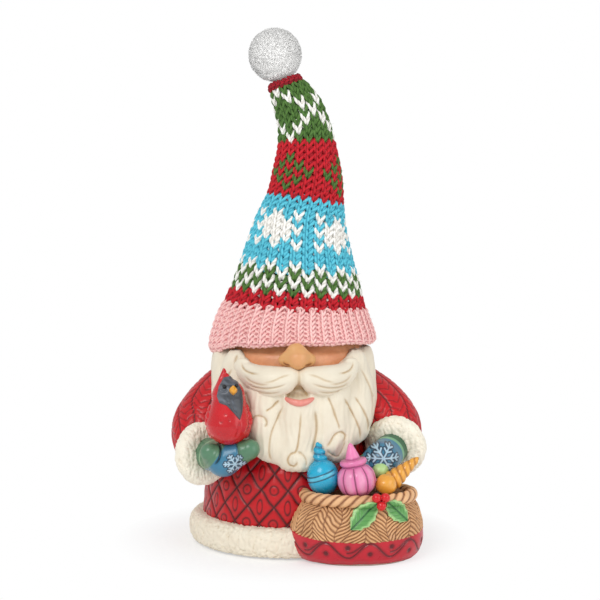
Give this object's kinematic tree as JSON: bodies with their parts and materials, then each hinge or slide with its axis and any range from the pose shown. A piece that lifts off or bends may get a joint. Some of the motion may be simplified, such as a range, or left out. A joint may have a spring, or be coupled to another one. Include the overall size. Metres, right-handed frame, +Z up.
{
  "type": "gnome figurine",
  "caption": "Bearded gnome figurine holding a small bird and a basket of baubles, under a lift-off knitted hat with a bending tip and a pom-pom.",
  "frame": {"origin": "middle of the robe's round foot, on the resting surface", "axes": "+Z up, the gnome faces -Y, +X to the right of someone who faces it"},
  "size_m": [0.1176, 0.1129, 0.2402],
  "materials": {
    "felt": "dense wool felt",
    "robe_paint": "red glossy paint over cast resin, dark wash in the incised lines",
    "fur_paint": "cream matt paint over rough cast fur",
    "steel": "plain steel wire",
    "mitten_green": "satin paint",
    "mitten_blue": "satin paint",
    "skin_paint": "satin paint",
    "nose_paint": "satin paint",
    "beard_paint": "satin cream paint with a tan wash in the grooves",
    "lip_paint": "satin paint",
    "bird_paint": "glossy paint",
    "mask_paint": "glossy paint",
    "beak_paint": "glossy paint",
    "basket_red": "glossy paint",
    "weave_paint": "matt paint, brown wash between the strands",
    "rope_paint": "matt paint, brown wash between the strands",
    "leaf_paint": "satin paint",
    "berry_paint": "glossy paint",
    "blue_paint": "glossy paint",
    "pink_paint": "glossy paint",
    "orange_paint": "glossy paint",
    "green_paint": "glossy paint",
    "yarn_pink": "knitted acrylic yarn, one by one rib",
    "yarn_mixed": "knitted acrylic yarn in coloured bands",
    "yarn_green": "knitted acrylic yarn with white stitches",
    "yarn_red": "gathered cast-off edge",
    "fiberfill": "polyester stuffing",
    "pompom_fluff": "dense short fibre",
    "thread": "sewing thread"
  },
  "bodies": {
    "figure": {"base_felt": "felt", "robe": "robe_paint", "fur_hem": "fur_paint", "shoulder_pins": "steel", "right_sleeve": "robe_paint", "left_sleeve": "robe_paint", "right_cuff": "fur_paint", "left_cuff": "fur_paint", "right_mitten": "mitten_green", "left_mitten": "mitten_blue", "head": "skin_paint", "nose": "nose_paint", "hair_back": "beard_paint", "beard": "beard_paint", "moustache": "beard_paint", "lower_lip": "lip_paint", "cardinal_body": "bird_paint", "cardinal_mask": "mask_paint", "cardinal_beak": "beak_paint", "cardinal_wings": "bird_paint", "cardinal_pin": "steel", "basket_foot": "basket_red", "basket_weave": "weave_paint", "basket_rope": "rope_paint", "basket_pins": "steel", "holly_leaves": "leaf_paint", "holly_berries": "berry_paint", "blue_ornament": "blue_paint", "pink_ornament": "pink_paint", "orange_ornament": "orange_paint", "green_ornament": "green_paint", "icicle_ornament": "orange_paint"},
    "hat": {"hat_brim": "yarn_pink", "hat_knit": "yarn_mixed", "hat_stuffing": "fiberfill"},
    "hat_tip": {"hat_tip_knit": "yarn_green", "hat_tip_edge": "yarn_red", "hat_tip_stuffing": "fiberfill"},
    "pompom": {"pompom": "pompom_fluff", "pompom_thread": "thread"}
  },
  "joints": [
    {"name": "hat_lift", "type": "slide", "parent": "figure", "child": "hat", "axis": [0, 0, 1], "range_m": [0, 0.06]},
    {"name": "hat_tip_bend", "type": "hinge", "parent": "hat", "child": "hat_tip", "pos_m": [0.007, 0, 0.1731], "axis": [0, 1, 0], "range_deg": [-10, 10], "stiffness_Nm_per_rad": 0.3},
    {"name": "pompom_swing", "type": "hinge", "parent": "hat_tip", "child": "pompom", "pos_m": [-0.0039, 0, 0.2165], "axis": [0, 1, 0], "range_deg": [-10, 10], "stiffness_Nm_per_rad": 0.05}
  ]
}
